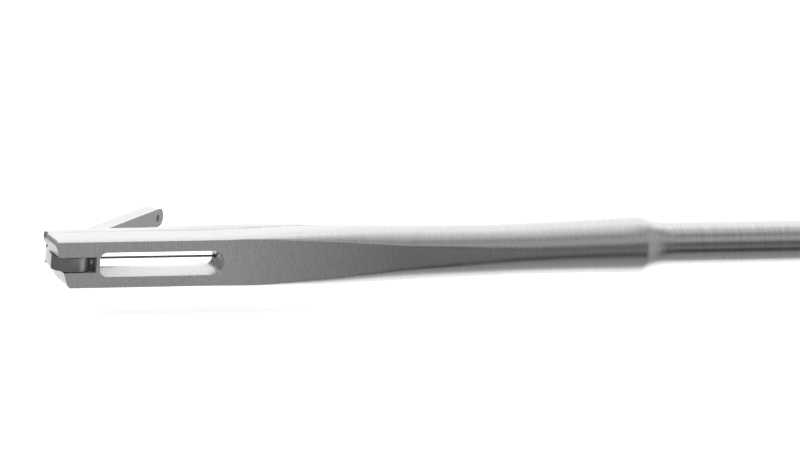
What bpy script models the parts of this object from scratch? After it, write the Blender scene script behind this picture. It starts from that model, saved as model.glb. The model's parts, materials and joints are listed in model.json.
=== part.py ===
"""Long reach stapler: a slim steel head and shaft worked by a pistol handle, lying flat on its side.

Metres, +Z up. The shaft runs along X with its tip at -X. The origin is on the handle's underside,
below the shaft's axis, 40 mm behind the nose. The head's vertical pin lets the anvil arm swing out to +Y.
"""

import math

import bmesh
import bpy
from mathutils import Matrix, Vector

MM = 0.001

# Overall
REACH = 300 * MM  # origin to the head's tip
NOSE_X = -40 * MM  # front of the handle
HANDLE_THICKNESS = 14.0 * MM

# Clearances
RUNNING = 0.06 * MM  # radial play of a turning or sliding fit
SEATED = 0.02 * MM  # between pieces that are pressed, welded or screwed together
SIDE_PLAY = 0.1 * MM  # play along a pin
FREE = 0.3 * MM  # air around a piece that moves past another

# Head
HEAD_LENGTH = 72.3 * MM
HEAD_DROP = 0.6 * MM  # the flat nose sits this far below the shaft's axis
BAR_HALF_HEIGHT = 2.85 * MM
FRONT_FLAT = 3.2 * MM  # axis to the flat front face
BACK_FLAT = 3.2 * MM
BODY_BACK = 1.2 * MM  # axis to the face that carries the back plate
SHOULDER_RADIUS = 3.26 * MM
WAIST_RADIUS = 3.0 * MM
SHOULDER_LENGTH = 3.6 * MM
TIP_LEAN = 1.8 * MM  # how far the tip face leans back from top to bottom
CHIN_RADIUS = 1.4 * MM
BROW_RADIUS = 1.2 * MM
NECK_DEPTH = 4.85 * MM
NECK_HEIGHT = 1.8 * MM
WINDOW_START = 5.25 * MM
WINDOW_END = 20.0 * MM
WINDOW_HEIGHT = 2.8 * MM
WINDOW_CORNER = 0.9 * MM

# Back plate
PLATE_LENGTH = 34.8 * MM
PLATE_RISE = 0.3 * MM  # crown at the far edge, over the front bar
RAIL_DEPTH = 1.5 * MM  # thickness of the rails beside the open arm pocket
RAIL_START = 0.2 * MM
RAMP_START = 16.0 * MM
RAMP_END = 19.6 * MM
PLATE_SCREW_X = 32.9 * MM
PLATE_SCREW_Z = 1.75 * MM  # each side of the bar's middle
PLATE_SCREW_RADIUS = 0.8 * MM
PLATE_SHANK_RADIUS = 0.58 * MM
PLATE_SCREW_SINK = 1.1 * MM  # depth of the sinks in the plate

# Anvil arm
PIVOT_X = 2.4 * MM  # behind the tip
PIVOT_Y = -0.85 * MM
ARM_OPEN_DEG = 46.5
ARM_LENGTH = 28.2 * MM  # pivot to the rounded end
ARM_THICKNESS = 2.0 * MM
ARM_HEIGHT = 2.4 * MM
HUB_RADIUS = 2.3 * MM
PIVOT_PIN_RADIUS = 0.6 * MM
CRANK_RADIUS = 1.3 * MM
CRANK_PIN_RADIUS = 0.25 * MM
WIRE_RADIUS = 0.14 * MM
WIRE_SLIT = 0.5 * MM

# Shaft and rod
SHAFT_RADIUS = 2.5 * MM
SHAFT_BORE = 1.8 * MM
ROD_RADIUS = 1.1 * MM
ROD_FRONT_X = 41.0 * MM  # behind the tip
SPIGOT_LENGTH = 6.0 * MM
COLLAR_RADIUS = 4.2 * MM
COLLAR_WIDTH = 4.0 * MM
KNOB_RADIUS = 6.3 * MM
KNOB_LENGTH = 17.0 * MM
KNOB_FLUTES = 8
SET_SCREW_RADIUS = 0.98 * MM

# Handle works
TRIGGER_SWEEP_DEG = 12.0
TRIGGER_X = -12.0 * MM
TRIGGER_THICKNESS = 8.0 * MM
TRIGGER_PIN_RADIUS = 1.5 * MM
PIN_INSET = 1.1 * MM  # the trigger pin's ends stop this far inside the handle's faces
SPOOL_RADIUS = 2.2 * MM
SPOOL_WALL = 0.45 * MM  # between the rod and the bottom of the groove
SPOOL_GROOVE = 3.0 * MM
SPRING_LENGTH = 15.0 * MM
SPRING_WIRE = 0.25 * MM
SPRING_TURNS = 7
WALL = 2.0 * MM
SCREW_RADIUS = 1.4 * MM
SCREW_HEAD_RADIUS = 2.5 * MM
SCREW_HEAD_HEIGHT = 2.3 * MM
SCREW_TIP_Z = 3.0 * MM
SCREW_SINK = 3.0 * MM  # depth of the sinks in the upper shell
PANEL_DEPTH = 1.0 * MM
EDGE_ROUND = 2.2 * MM

# Follows from the sizes above
AXIS_Z = HANDLE_THICKNESS / 2  # shaft axis above the surface it lies on
TIP_X = -REACH
BAR_Z = AXIS_Z - HEAD_DROP
PIVOT = Vector((TIP_X + PIVOT_X, PIVOT_Y, BAR_Z))
HALF_OPEN = math.radians(ARM_OPEN_DEG / 2)
ROD_TRAVEL = 2 * CRANK_RADIUS * math.sin(HALF_OPEN)
WIRE_Y = PIVOT_Y + CRANK_RADIUS * (1 + math.cos(HALF_OPEN)) / 2
CRANK_X = PIVOT.x - ROD_TRAVEL / 2
FORK_RADIUS = ROD_TRAVEL / math.radians(TRIGGER_SWEEP_DEG)
TRIGGER_PIVOT = Vector((TRIGGER_X, FORK_RADIUS, AXIS_Z))
TUBE_START_X = TIP_X + HEAD_LENGTH + SHOULDER_LENGTH
TUBE_END_X = NOSE_X + 14 * MM
SET_SCREW_X = NOSE_X - 6.1 * MM
SPOOL_X = TRIGGER_X - SPOOL_GROOVE / 2 - 1.2 * MM
SPOOL_LENGTH = SPOOL_GROOVE + 2.4 * MM
ROD_END_X = SPOOL_X + SPOOL_LENGTH + SPRING_LENGTH + 7 * MM
SPRING_X = SPOOL_X + SPOOL_LENGTH + 0.1 * MM
GRIP_SCREWS = ((-29.0, 8.5), (27.0, 5.0), (36.0, -38.0), (44.5, -84.0))


# ---------------------------------------------------------------- helpers


def clear_scene():
    for old in list(bpy.data.objects):
        bpy.data.objects.remove(old, do_unlink=True)


def material(name, colour, roughness, metallic):
    found = bpy.data.materials.get(name)
    if found:
        return found
    made = bpy.data.materials.new(name)
    made.use_nodes = True
    shader = made.node_tree.nodes["Principled BSDF"]
    shader.inputs["Base Color"].default_value = (*colour, 1.0)
    shader.inputs["Roughness"].default_value = roughness
    shader.inputs["Metallic"].default_value = metallic
    made.diffuse_color = (*colour, 1.0)
    return made


def satin_steel():
    return material("satin_steel", (0.60, 0.60, 0.59), 0.34, 1.0)


def polished_steel():
    return material("polished_steel", (0.72, 0.72, 0.71), 0.16, 1.0)


def spring_steel():
    return material("spring_steel", (0.42, 0.42, 0.44), 0.28, 1.0)


def red_plastic():
    return material("red_plastic", (0.50, 0.03, 0.025), 0.38, 0.0)


def dark_plastic():
    return material("dark_plastic", (0.05, 0.05, 0.055), 0.5, 0.0)


def soft_grip():
    return material("soft_grip", (0.03, 0.03, 0.032), 0.75, 0.0)


def pivot_empty(name, place):
    empty = bpy.data.objects.new(name, None)
    bpy.context.scene.collection.objects.link(empty)
    empty.location = place
    empty.empty_display_size = 5 * MM
    return empty


def finish(name, bm, look, pivot=None, angle=30):
    """Makes the object of a bmesh that is built in place, and hangs it on its joint's empty."""
    bmesh.ops.remove_doubles(bm, verts=bm.verts, dist=1e-8)
    bmesh.ops.recalc_face_normals(bm, faces=bm.faces)
    mesh = bpy.data.meshes.new(name)
    bm.to_mesh(mesh)
    bm.free()
    mesh.shade_smooth()
    mesh.set_sharp_from_angle(angle=math.radians(angle))
    made = bpy.data.objects.new(name, mesh)
    bpy.context.scene.collection.objects.link(made)
    made.data.materials.append(look())
    if pivot:
        made.parent = pivot
        made.matrix_parent_inverse = Matrix.Translation(-pivot.location)
    return made


def boolean(target, bm, operation="DIFFERENCE", name="cut"):
    """Cuts, joins or crosses the target with the shape in bm, kept as a wire-drawn helper."""
    helper = finish(f"{target.name}_{name}_{len(target.modifiers)}", bm, satin_steel)
    helper.hide_render = True
    helper.display_type = "WIRE"
    step = target.modifiers.new(name, "BOOLEAN")
    step.operation = operation
    step.solver = "EXACT"
    step.object = helper
    return target


def rounded(target, width, segments=2, angle=40):
    step = target.modifiers.new("rounding", "BEVEL")
    step.width = width
    step.segments = segments
    step.limit_method = "ANGLE"
    step.angle_limit = math.radians(angle)
    step.use_clamp_overlap = True
    return target


def close_loops(bm, rings):
    """Bridges equal rings of vertices in order and closes both ends."""
    for low, high in zip(rings, rings[1:]):
        for i in range(len(low)):
            j = (i + 1) % len(low)
            bm.faces.new((low[i], low[j], high[j], high[i]))
    bm.faces.new(rings[0][::-1])
    bm.faces.new(rings[-1])


def turned(profile, y=0.0, z=AXIS_Z, segments=32):
    """A bmesh turned about a line along X from (x, radius) pairs."""
    bm = bmesh.new()
    rings = []
    for x, radius in profile:
        ring = []
        for k in range(segments):
            a = 2 * math.pi * k / segments
            ring.append(bm.verts.new((x, y + radius * math.cos(a), z + radius * math.sin(a))))
        rings.append(ring)
    close_loops(bm, rings)
    return bm


def post(x, y, radius, low, high, segments=24):
    """A bmesh of an upright cylinder."""
    bm = bmesh.new()
    rings = []
    turn = [2 * math.pi * k / segments for k in range(segments)]
    for z in (low, high):
        points = [(x + radius * math.cos(a), y + radius * math.sin(a), z) for a in turn]
        rings.append([bm.verts.new(p) for p in points])
    close_loops(bm, rings)
    return bm


def block(low, high):
    """A bmesh box between two corners."""
    bm = bmesh.new()
    bmesh.ops.create_cube(bm, size=1.0)
    size = Vector(high) - Vector(low)
    middle = (Vector(high) + Vector(low)) / 2
    bmesh.ops.scale(bm, vec=size, verts=bm.verts)
    bmesh.ops.translate(bm, vec=middle, verts=bm.verts)
    return bm


def rounded_outline(corners, steps=5):
    """Turns (u, v, radius) corners into a closed outline whose corners are arcs."""
    points = []
    count = len(corners)
    for i, (u, v, radius) in enumerate(corners):
        here = Vector((u, v))
        before = (Vector(corners[i - 1][:2]) - here).normalized()
        after = (Vector(corners[(i + 1) % count][:2]) - here).normalized()
        half = before.angle(after) / 2
        if radius <= 0 or half > math.radians(89):
            points.append(here)
            continue
        reach = radius / math.tan(half)
        start, end = here + before * reach, here + after * reach
        centre = here + (before + after).normalized() * radius / math.sin(half)
        first, last = start - centre, end - centre
        sweep = first.angle_signed(last)
        for k in range(steps + 1):
            turn = Matrix.Rotation(-sweep * k / steps, 2)
            points.append(centre + turn @ first)
    return points


def slab(outline, low, high, plane="XY"):
    """A bmesh prism: an outline in the XY or XZ plane, pushed from low to high along the third axis."""
    bm = bmesh.new()
    place = (lambda u, v, w: (u, v, w)) if plane == "XY" else (lambda u, v, w: (u, w, v))
    rings = [[bm.verts.new(place(p.x, p.y, w)) for p in outline] for w in (low, high)]
    close_loops(bm, rings)
    return bm


def scaled(corners):
    """Corners given in millimetres, as metres."""
    return [(u * MM, v * MM, r * MM) for u, v, r in corners]


# ---------------------------------------------------------------- head


def head_stations():
    """(x, half width, half height, squareness, centre, front flat, back flat) along the head's blank."""
    end = HEAD_LENGTH
    return (
        (0.0, 3.6 * MM, BAR_HALF_HEIGHT, 7.5, -HEAD_DROP, FRONT_FLAT, BACK_FLAT),
        (17 * MM, 3.6 * MM, BAR_HALF_HEIGHT, 7.5, -HEAD_DROP, FRONT_FLAT, BACK_FLAT),
        (23 * MM, 3.6 * MM, BAR_HALF_HEIGHT + 0.12 * MM, 6.5, -HEAD_DROP, FRONT_FLAT, BACK_FLAT),
        (27 * MM, 3.6 * MM, BAR_HALF_HEIGHT + 0.26 * MM, 4.4, -0.98 * HEAD_DROP, FRONT_FLAT, BACK_FLAT),
        (31.5 * MM, 3.49 * MM, 3.24 * MM, 3.3, -0.97 * HEAD_DROP, 3.14 * MM, 3.14 * MM),
        (36 * MM, 3.36 * MM, 3.28 * MM, 2.5, -0.94 * HEAD_DROP, 2.96 * MM, 3.05 * MM),
        (42 * MM, 3.20 * MM, 3.20 * MM, 2.0, -0.9 * HEAD_DROP, 2.84 * MM, 2.93 * MM),
        (47 * MM, 3.08 * MM, 3.08 * MM, 2.0, -0.82 * HEAD_DROP, 2.84 * MM, 2.88 * MM),
        (52 * MM, WAIST_RADIUS, WAIST_RADIUS, 2.0, -0.72 * HEAD_DROP, 2.90 * MM, 2.92 * MM),
        (57 * MM, 2.98 * MM, 2.98 * MM, 2.0, -0.58 * HEAD_DROP, 2.96 * MM, 2.96 * MM),
        (62 * MM, 3.04 * MM, 3.04 * MM, 2.0, -0.42 * HEAD_DROP, 3.04 * MM, 3.04 * MM),
        (67 * MM, 3.14 * MM, 3.14 * MM, 2.0, -0.26 * HEAD_DROP, 3.14 * MM, 3.14 * MM),
        (end, SHOULDER_RADIUS, SHOULDER_RADIUS, 2.0, -0.12 * HEAD_DROP, SHOULDER_RADIUS, SHOULDER_RADIUS),
    )


def shoulder_stations(steps=6):
    """The short ogee from the head's shoulder down to the shaft's own radius."""
    for k in range(1, steps + 1):
        share = k / steps
        ease = (1 - math.cos(math.pi * share)) / 2
        radius = SHOULDER_RADIUS + (SHAFT_RADIUS - SHOULDER_RADIUS) * ease
        centre = -0.12 * HEAD_DROP * (1 - ease)
        yield (HEAD_LENGTH + SHOULDER_LENGTH * share, radius, radius, 2.0, centre, radius, radius)


def head_section(half_width, half_height, squareness, centre, front, back, steps=14):
    """Closed section: a squared oval cut off by the front and back flats."""

    def height(y):
        inside = max(0.0, 1 - abs(y / half_width) ** squareness)
        return half_height * inside ** (1 / squareness)

    start = math.acos(max(-1.0, -front / half_width))
    stop = math.acos(min(1.0, back / half_width))
    across = [half_width * math.cos(start + (stop - start) * k / steps) for k in range(steps + 1)]
    top = [(y, centre + max(height(y), 0.05 * MM)) for y in across]
    bottom = [(y, centre - max(height(y), 0.05 * MM)) for y in reversed(across)]
    return top + bottom


def crown(x, y):
    """Lift of the back plate's top: none at the seam, fading out towards the plate's tail."""
    across = min(max((y - BODY_BACK) / (BACK_FLAT - BODY_BACK), 0.0), 1.0)
    nose = max(1 - x / (3 * MM), 0.0) * -0.25 * MM
    start = min(max((x - 12 * MM) / (8 * MM), 0.0), 1.0)
    tail = min(max((PLATE_LENGTH - x) / (6 * MM), 0.0), 1.0)
    height = (0.35 + 0.65 * start) * PLATE_RISE * tail
    return nose + height * across


def head_blank(crowned=False):
    bm = bmesh.new()
    rings = []
    for x, *shape in [*head_stations(), *shoulder_stations()]:
        section = head_section(*shape)
        ring = []
        for y, z in section:
            lifted = z + (crown(x, y) if crowned and z > -HEAD_DROP else 0.0)
            ring.append(bm.verts.new((TIP_X + x, y, AXIS_Z + lifted)))
        rings.append(ring)
    close_loops(bm, rings)
    return bm


def tip_trim(back):
    """What the leaning tip face and the rounded chin take off the blank."""
    top, bottom = BAR_Z + BAR_HALF_HEIGHT, BAR_Z - BAR_HALF_HEIGHT
    chin = Vector((TIP_X + TIP_LEAN + CHIN_RADIUS * 0.6, bottom + CHIN_RADIUS))
    arc = []
    for k in range(9):
        a = math.radians(196 + (270 - 196) * k / 8)
        arc.append(chin + CHIN_RADIUS * Vector((math.cos(a), math.sin(a))))
    brow = Vector((TIP_X + BROW_RADIUS, top - BROW_RADIUS + 0.02 * MM))
    brow_arc = []
    for k in range(7):
        a = math.radians(90 + (192 - 90) * k / 6)
        brow_arc.append(brow + BROW_RADIUS * Vector((math.cos(a), math.sin(a))))
    outline = [
        Vector((TIP_X - 2 * MM, top + 2 * MM)),
        Vector((TIP_X - 2 * MM, bottom - 2 * MM)),
        Vector((chin.x, bottom - 2 * MM)),
        *reversed(arc),
        *reversed(brow_arc),
        Vector((brow.x, top + 2 * MM)),
    ]
    return slab(outline, -8 * MM, back, "XZ")


def window_cut(grow=0.0):
    low, high = BAR_Z - WINDOW_HEIGHT / 2 - grow, BAR_Z + WINDOW_HEIGHT / 2 + grow
    end = WINDOW_HEIGHT / 2 - 0.01 * MM
    corners = [
        (TIP_X + WINDOW_START - grow, low, WINDOW_CORNER),
        (TIP_X + WINDOW_START - grow, high, WINDOW_CORNER),
        (TIP_X + WINDOW_END + grow, high, end),
        (TIP_X + WINDOW_END + grow, low, end),
    ]
    return slab(rounded_outline(corners, 7), -9 * MM, 9 * MM, "XZ")


def make_head_body(shaft):
    body = finish("head_body", head_blank(), satin_steel, shaft, angle=24)
    boolean(body, window_cut(), name="window")
    boolean(body, tip_trim(8 * MM), name="tip")
    plate_end = TIP_X + PLATE_LENGTH
    seat = block((TIP_X - MM, BODY_BACK, 0), (plate_end, 8 * MM, 2 * AXIS_Z))
    boolean(body, seat, name="plate_seat")
    neck = (BAR_Z - NECK_HEIGHT / 2, BAR_Z + NECK_HEIGHT / 2)
    pin = post(PIVOT.x, PIVOT.y, PIVOT_PIN_RADIUS + SEATED, 0, BAR_Z + BAR_HALF_HEIGHT - 0.6 * MM)
    boolean(body, pin, name="pin_hole")
    neck_end = TIP_X + NECK_DEPTH
    slot = block((TIP_X - MM, -8 * MM, neck[0]), (neck_end, 8 * MM, neck[1]))
    boolean(body, slot, name="neck")
    room = WIRE_RADIUS + 0.11 * MM
    wire_line = [(TIP_X + 2 * MM, room), (TIP_X + ROD_FRONT_X, room)]
    boolean(body, turned(wire_line, WIRE_Y, BAR_Z, 16), name="wire_hole")
    bore = ROD_RADIUS + 2 * RUNNING
    front = TIP_X + ROD_FRONT_X - ROD_TRAVEL
    socket = TUBE_START_X - SPIGOT_LENGTH - SEATED
    steps = [(front, bore), (socket, bore), (socket, SHAFT_BORE), (TUBE_START_X + MM, SHAFT_BORE)]
    boolean(body, turned(steps, segments=32), name="bore")
    hole_radius = PLATE_SHANK_RADIUS + 2 * SEATED
    for side in (-1, 1):
        hole = turned_across(PLATE_SCREW_X, side * PLATE_SCREW_Z, hole_radius, -1.6 * MM, BODY_BACK + MM)
        boolean(body, hole, name="screw_hole")
    return body


def turned_across(x, z, radius, low, high, segments=20):
    """A bmesh cylinder along Y at a place behind the tip, z measured from the bar's middle."""
    bm = bmesh.new()
    rings = []
    for y in (low, high):
        turn = [2 * math.pi * k / segments for k in range(segments)]
        points = [(TIP_X + x + radius * math.cos(a), y, BAR_Z + z + radius * math.sin(a)) for a in turn]
        rings.append([bm.verts.new(p) for p in points])
    close_loops(bm, rings)
    return bm


def make_head_spigot(shaft):
    """The thin sleeve on the head's tail that the shaft tube is welded over."""
    sleeve = SHAFT_BORE - SEATED
    start, end = TUBE_START_X - SPIGOT_LENGTH, TUBE_START_X + SPIGOT_LENGTH
    line = turned([(start, sleeve), (end, sleeve)], segments=32)
    spigot = finish("head_spigot", line, satin_steel, shaft)
    bore = ROD_RADIUS + RUNNING
    boolean(spigot, turned([(start - MM, bore), (end + MM, bore)], segments=24), name="bore")
    return spigot


def make_back_plate(shaft):
    """The far half of the nose: solid behind the ramp, two rails beside the arm's pocket in front of it."""
    plate = finish("head_back_plate", head_blank(crowned=True), satin_steel, shaft, angle=24)
    plate_end = TIP_X + PLATE_LENGTH - SEATED
    keep = block((TIP_X + RAIL_START, BODY_BACK + SEATED, 0), (plate_end, 8 * MM, 2 * AXIS_Z))
    boolean(plate, keep, "INTERSECT", "keep")
    outside = BODY_BACK + RAIL_DEPTH
    thin = [
        Vector((TIP_X - 2 * MM, outside)),
        Vector((TIP_X + RAMP_START, outside)),
        Vector((TIP_X + RAMP_END, BACK_FLAT)),
        Vector((TIP_X + RAMP_END, 8 * MM)),
        Vector((TIP_X - 2 * MM, 8 * MM)),
    ]
    boolean(plate, slab(thin, 0, 2 * AXIS_Z), name="ramp")
    half = ARM_HEIGHT / 2 + FREE / 2
    pocket_end = PIVOT.x + ARM_LENGTH + FREE
    pocket = [
        (TIP_X - 3 * MM, BAR_Z - half, 0),
        (TIP_X - 3 * MM, BAR_Z + half, 0),
        (pocket_end, BAR_Z + half, half * 0.98),
        (pocket_end, BAR_Z - half, half * 0.98),
    ]
    boolean(plate, slab(rounded_outline(pocket, 6), 0, 8 * MM, "XZ"), name="pocket")
    boolean(plate, window_cut(0.15 * MM), name="window")
    return plate


def make_plate_screws(shaft):
    seat = BACK_FLAT - PLATE_SCREW_SINK
    crest = seat + 0.75 * MM
    x = TIP_X + PLATE_SCREW_X
    for number, side in enumerate((-1, 1), 1):
        z = side * PLATE_SCREW_Z
        shank = turned_across(PLATE_SCREW_X, z, PLATE_SHANK_RADIUS, -1.2 * MM, seat + 0.2 * MM)
        screw = finish(f"plate_screw_{number}", shank, polished_steel, shaft)
        head = turned_across(PLATE_SCREW_X, z, PLATE_SCREW_RADIUS, seat, crest)
        boolean(screw, head, "UNION", "head")
        low = (x - 2 * MM, crest - 0.25 * MM, BAR_Z + z - 0.12 * MM)
        high = (x + 2 * MM, crest + MM, BAR_Z + z + 0.12 * MM)
        boolean(screw, block(low, high), name="slot")


def plate_screw_holes(plate):
    shank, head = PLATE_SHANK_RADIUS + 2 * SEATED, PLATE_SCREW_RADIUS + SEATED
    seat = BACK_FLAT - PLATE_SCREW_SINK - SEATED
    for side in (-1, 1):
        z = side * PLATE_SCREW_Z
        boolean(plate, turned_across(PLATE_SCREW_X, z, shank, 0, 8 * MM), name="screw_hole")
        boolean(plate, turned_across(PLATE_SCREW_X, z, head, seat, 8 * MM), name="screw_sink")


# ---------------------------------------------------------------- anvil arm


def turn_open(bm):
    swing = Matrix.Rotation(math.radians(ARM_OPEN_DEG), 3, "Z")
    bmesh.ops.rotate(bm, cent=PIVOT, matrix=swing, verts=bm.verts)
    return bm


def hub_outline():
    """The hub's round and the root that carries the bar, about the pivot."""
    rise = BODY_BACK + SIDE_PLAY - PIVOT_Y
    left, right = -1.7 * MM, 1.5 * MM
    start = math.pi - math.acos(-left / HUB_RADIUS)
    stop = 2 * math.pi + math.acos(right / HUB_RADIUS)
    turn = [start + (stop - start) * k / 24 for k in range(25)]
    hub = [PIVOT.xy + HUB_RADIUS * Vector((math.cos(a), math.sin(a))) for a in turn]
    inner, outer = rise + 0.03 * MM, rise + ARM_THICKNESS - 0.03 * MM
    heel = [
        (right, inner),
        (right + 1.7 * MM, inner),
        (right + 1.7 * MM, outer),
        (right + 0.4 * MM, outer),
    ]
    return hub + [PIVOT.xy + Vector(corner) for corner in heel]


def make_anvil_arm(hinge):
    """Drawn folded flat along the head, then turned to its open rest."""
    tongue = NECK_HEIGHT / 2 - SIDE_PLAY
    hub_shape = turn_open(slab(hub_outline(), BAR_Z - tongue, BAR_Z + tongue))
    hub = finish("anvil_arm", hub_shape, satin_steel, hinge, angle=35)
    inner = BODY_BACK + SIDE_PLAY
    outer = inner + ARM_THICKNESS
    half = ARM_HEIGHT / 2
    end = PIVOT.x + ARM_LENGTH
    bar = [
        (PIVOT.x + 2.0 * MM, BAR_Z - half, 0),
        (PIVOT.x + 2.0 * MM, BAR_Z + half, 0),
        (end, BAR_Z + half, half * 0.995),
        (end, BAR_Z - half, half * 0.995),
    ]
    boolean(hub, turn_open(slab(rounded_outline(bar, 9), inner, outer, "XZ")), "UNION", "bar")
    bore = PIVOT_PIN_RADIUS + RUNNING
    boolean(hub, turn_open(post(PIVOT.x, PIVOT.y, bore, 0, 2 * AXIS_Z)), name="bore")
    crank_angle = math.pi / 2 - HALF_OPEN
    crank = PIVOT + CRANK_RADIUS * Vector((math.cos(crank_angle), math.sin(crank_angle), 0))
    hole = post(crank.x, crank.y, CRANK_PIN_RADIUS + RUNNING + 0.06 * MM, 0, 2 * AXIS_Z, 20)
    boolean(hub, turn_open(hole), name="crank_hole")
    slit = wire_slit(crank)
    boolean(hub, turn_open(slit), name="slit")
    return hub


def wire_slit(crank):
    """A flat slit in the hub for the wire: a half ring from the crank hole round to the front of the hub."""
    near, far = 0.92 * MM, HUB_RADIUS + 0.3 * MM
    angles = [math.radians(-22 + 102 * k / 10) for k in range(11)]
    rays = [Vector((math.cos(a), math.sin(a))) for a in angles]
    ring = [PIVOT.xy + near * ray for ray in rays] + [PIVOT.xy + far * ray for ray in reversed(rays)]
    limit = BODY_BACK + SIDE_PLAY + 0.3 * MM
    outline = [Vector((p.x, min(p.y, limit))) for p in ring]
    return slab(outline, BAR_Z - WIRE_SLIT / 2, BAR_Z + WIRE_SLIT / 2)


def make_arm_pivot_pin(shaft):
    low, high = BAR_Z - BAR_HALF_HEIGHT + 0.1 * MM, BAR_Z + BAR_HALF_HEIGHT - 0.7 * MM
    pin = post(PIVOT.x, PIVOT.y, PIVOT_PIN_RADIUS, low, high)
    return rounded(finish("arm_pivot_pin", pin, polished_steel, shaft), 0.08 * MM, 1)


# ---------------------------------------------------------------- shaft


def make_shaft_tube(shaft):
    start, end = TUBE_START_X + SEATED, TUBE_END_X
    line = turned([(start, SHAFT_RADIUS), (end, SHAFT_RADIUS)], segments=40)
    tube = finish("shaft_tube", line, satin_steel, shaft)
    boolean(tube, turned([(start - MM, SHAFT_BORE), (end + MM, SHAFT_BORE)], segments=32), name="bore")
    return tube


def make_shaft_collar(shaft):
    """The bearing ring in the handle's nose that carries the shaft and lets it turn."""
    start = NOSE_X + 3 * MM
    ring = turned([(start, COLLAR_RADIUS), (start + COLLAR_WIDTH, COLLAR_RADIUS)], segments=32)
    collar = finish("shaft_collar", ring, polished_steel, shaft)
    hole = SHAFT_RADIUS + SEATED
    boolean(collar, turned([(start - MM, hole), (start + COLLAR_WIDTH + MM, hole)], segments=40), name="bore")
    return rounded(collar, 0.3 * MM, 1)


def make_rotation_knob(shaft):
    end = NOSE_X - 0.6 * MM
    start = end - KNOB_LENGTH
    profile = [
        (start, 3.6 * MM),
        (start + 1.2 * MM, 4.6 * MM),
        (start + 4.5 * MM, KNOB_RADIUS - 0.5 * MM),
        (start + 8 * MM, KNOB_RADIUS),
        (end - 1.2 * MM, KNOB_RADIUS),
        (end, KNOB_RADIUS - 1.0 * MM),
    ]
    knob = finish("rotation_knob", turned(profile, segments=48), red_plastic, shaft, angle=20)
    away = KNOB_RADIUS + 1.6 * MM
    for k in range(KNOB_FLUTES):
        a = 2 * math.pi * (k + 0.5) / KNOB_FLUTES
        y, z = away * math.cos(a), away * math.sin(a)
        groove = [(start + 2.2 * MM, 1.3 * MM), (start + 4.4 * MM, 2.5 * MM), (end + MM, 2.5 * MM)]
        boolean(knob, turned(groove, y, AXIS_Z + z, 16), name="flute")
    screw_hole = post(SET_SCREW_X, 0, SET_SCREW_RADIUS + 2 * SEATED, AXIS_Z, 2 * HANDLE_THICKNESS, 18)
    boolean(knob, screw_hole, name="set_screw_hole")
    hole = SHAFT_RADIUS + SEATED
    return boolean(knob, turned([(start - MM, hole), (end + MM, hole)], segments=40), name="bore")


def make_knob_set_screw(shaft):
    low, high = AXIS_Z + SHAFT_RADIUS + 0.05 * MM, AXIS_Z + KNOB_RADIUS - 0.5 * MM
    shank = post(SET_SCREW_X, 0, SET_SCREW_RADIUS, low, high, 16)
    screw = finish("knob_set_screw", shank, polished_steel, shaft)
    boolean(screw, post(SET_SCREW_X, 0, 0.5 * MM, high - 1.2 * MM, high + MM, 6), name="hex_socket")
    return screw


# ---------------------------------------------------------------- pull rod


def make_drive_wire(slide):
    end = TIP_X + ROD_FRONT_X + 3 * MM
    line = turned([(CRANK_X, WIRE_RADIUS), (end, WIRE_RADIUS)], WIRE_Y, BAR_Z, 12)
    wire = finish("drive_wire", line, polished_steel, slide)
    tongue = NECK_HEIGHT / 2 - SIDE_PLAY
    hook = post(CRANK_X, WIRE_Y, CRANK_PIN_RADIUS, BAR_Z - tongue, BAR_Z + tongue, 16)
    return boolean(wire, hook, "UNION", "hook")


def make_pull_rod(slide):
    start = TIP_X + ROD_FRONT_X
    line = turned([(start, ROD_RADIUS), (ROD_END_X, ROD_RADIUS)], segments=24)
    rod = finish("pull_rod", line, spring_steel, slide)
    hole = WIRE_RADIUS + SEATED
    socket = turned([(start - MM, hole), (start + 3.2 * MM, hole)], WIRE_Y, BAR_Z, 12)
    return boolean(rod, socket, name="wire_socket")


def make_rod_spool(slide):
    """Two flanges on the rod that the trigger's fork pulls against while the rod is free to turn."""
    core = ROD_RADIUS + SPOOL_WALL
    flange = (SPOOL_LENGTH - SPOOL_GROOVE) / 2
    profile = [
        (SPOOL_X, SPOOL_RADIUS),
        (SPOOL_X + flange, SPOOL_RADIUS),
        (SPOOL_X + flange, core),
        (SPOOL_X + flange + SPOOL_GROOVE, core),
        (SPOOL_X + flange + SPOOL_GROOVE, SPOOL_RADIUS),
        (SPOOL_X + SPOOL_LENGTH, SPOOL_RADIUS),
    ]
    spool = finish("rod_spool", turned(profile, segments=32), polished_steel, slide)
    hole = ROD_RADIUS + SEATED
    bore = turned([(SPOOL_X - MM, hole), (SPOOL_X + SPOOL_LENGTH + MM, hole)], segments=24)
    return boolean(spool, bore, name="bore")


def make_return_spring():
    curve = bpy.data.curves.new("return_spring", "CURVE")
    curve.dimensions = "3D"
    curve.bevel_depth = SPRING_WIRE
    curve.bevel_resolution = 1
    curve.use_fill_caps = True
    per_turn = 14
    count = SPRING_TURNS * per_turn
    line = curve.splines.new("POLY")
    line.points.add(count)
    radius = ROD_RADIUS + SPRING_WIRE + 0.35 * MM
    start = SPRING_X + SPRING_WIRE
    length = SPRING_LENGTH - 2 * SPRING_WIRE - 0.3 * MM
    for k in range(count + 1):
        a = 2 * math.pi * k / per_turn
        point = (start + length * k / count, radius * math.cos(a), AXIS_Z + radius * math.sin(a), 1)
        line.points[k].co = point
    spring = bpy.data.objects.new("return_spring", curve)
    bpy.context.scene.collection.objects.link(spring)
    curve.materials.append(spring_steel())
    return spring


# ---------------------------------------------------------------- handle


def handle_outline():
    return scaled([
        (NOSE_X / MM, -8.5, 4.0),
        (NOSE_X / MM, 8.5, 3.0),
        (-24, 12.5, 18),
        (18, 13.5, 22),
        (38, 2.0, 20),
        (49, -32, 40),
        (55.5, -92, 9),
        (30, -97, 9),
        (24.5, -52, 60),
        (16, -17, 12),
        (3, -12.0, 14),
        (-22, -12.0, 8),
    ])


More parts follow.
